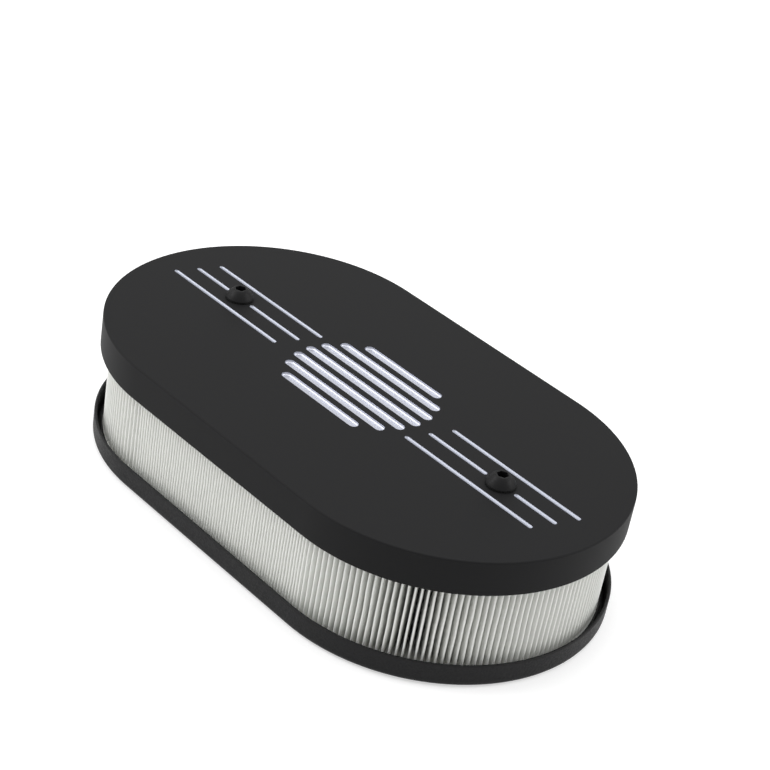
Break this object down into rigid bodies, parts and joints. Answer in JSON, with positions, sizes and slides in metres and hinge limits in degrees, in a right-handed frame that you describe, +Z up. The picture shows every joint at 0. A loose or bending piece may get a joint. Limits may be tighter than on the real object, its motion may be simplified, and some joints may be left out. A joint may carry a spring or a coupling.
{
  "type": "carburetor air cleaner",
  "caption": "Oval air cleaner for a twin-throat carburetor: drilled tray with two posts, pleated filter element and milled lid held by two flanged screws.",
  "frame": {"origin": "middle of the tray's flat underside, where it sits on the carburetor flange", "axes": "+X along the oval towards the front post, +Y across the oval, +Z up through the filter to the lid"},
  "size_m": [0.288, 0.168, 0.0705],
  "materials": {
    "powder_coated_tray": "fine black powder coat",
    "turned_post": "turned steel, blackened",
    "moulded_cap": "matte moulded urethane",
    "pleated_paper": "off-white pleated filter paper",
    "anodised_lid": "satin black anodised, milled grooves left bright",
    "black_screw": "black oxide",
    "washer_rubber": "matte rubber"
  },
  "bodies": {
    "base": {"base_tray": "powder_coated_tray", "post_front": "turned_post", "post_rear": "turned_post"},
    "filter": {"filter_bottom_cap": "moulded_cap", "pleated_media": "pleated_paper", "filter_top_cap": "moulded_cap"},
    "lid": {"lid": "anodised_lid", "seal_washer_front": "washer_rubber", "seal_washer_rear": "washer_rubber"},
    "screw_front": {"lid_screw_front": "black_screw"},
    "screw_rear": {"lid_screw_rear": "black_screw"}
  },
  "joints": [
    {"name": "filter_lift", "type": "slide", "parent": "base", "child": "filter", "axis": [0, 0, 1], "range_m": [0, 0.08]},
    {"name": "lid_lift", "type": "slide", "parent": "filter", "child": "lid", "axis": [0, 0, 1], "range_m": [0, 0.032]},
    {"name": "screw_front_turn", "type": "hinge", "parent": "lid", "child": "screw_front", "pos_m": [0.0915, 0, 0.0659], "axis": [0, 0, 1], "continuous": true},
    {"name": "screw_rear_turn", "type": "hinge", "parent": "lid", "child": "screw_rear", "pos_m": [-0.0915, 0, 0.0659], "axis": [0, 0, 1], "continuous": true}
  ]
}
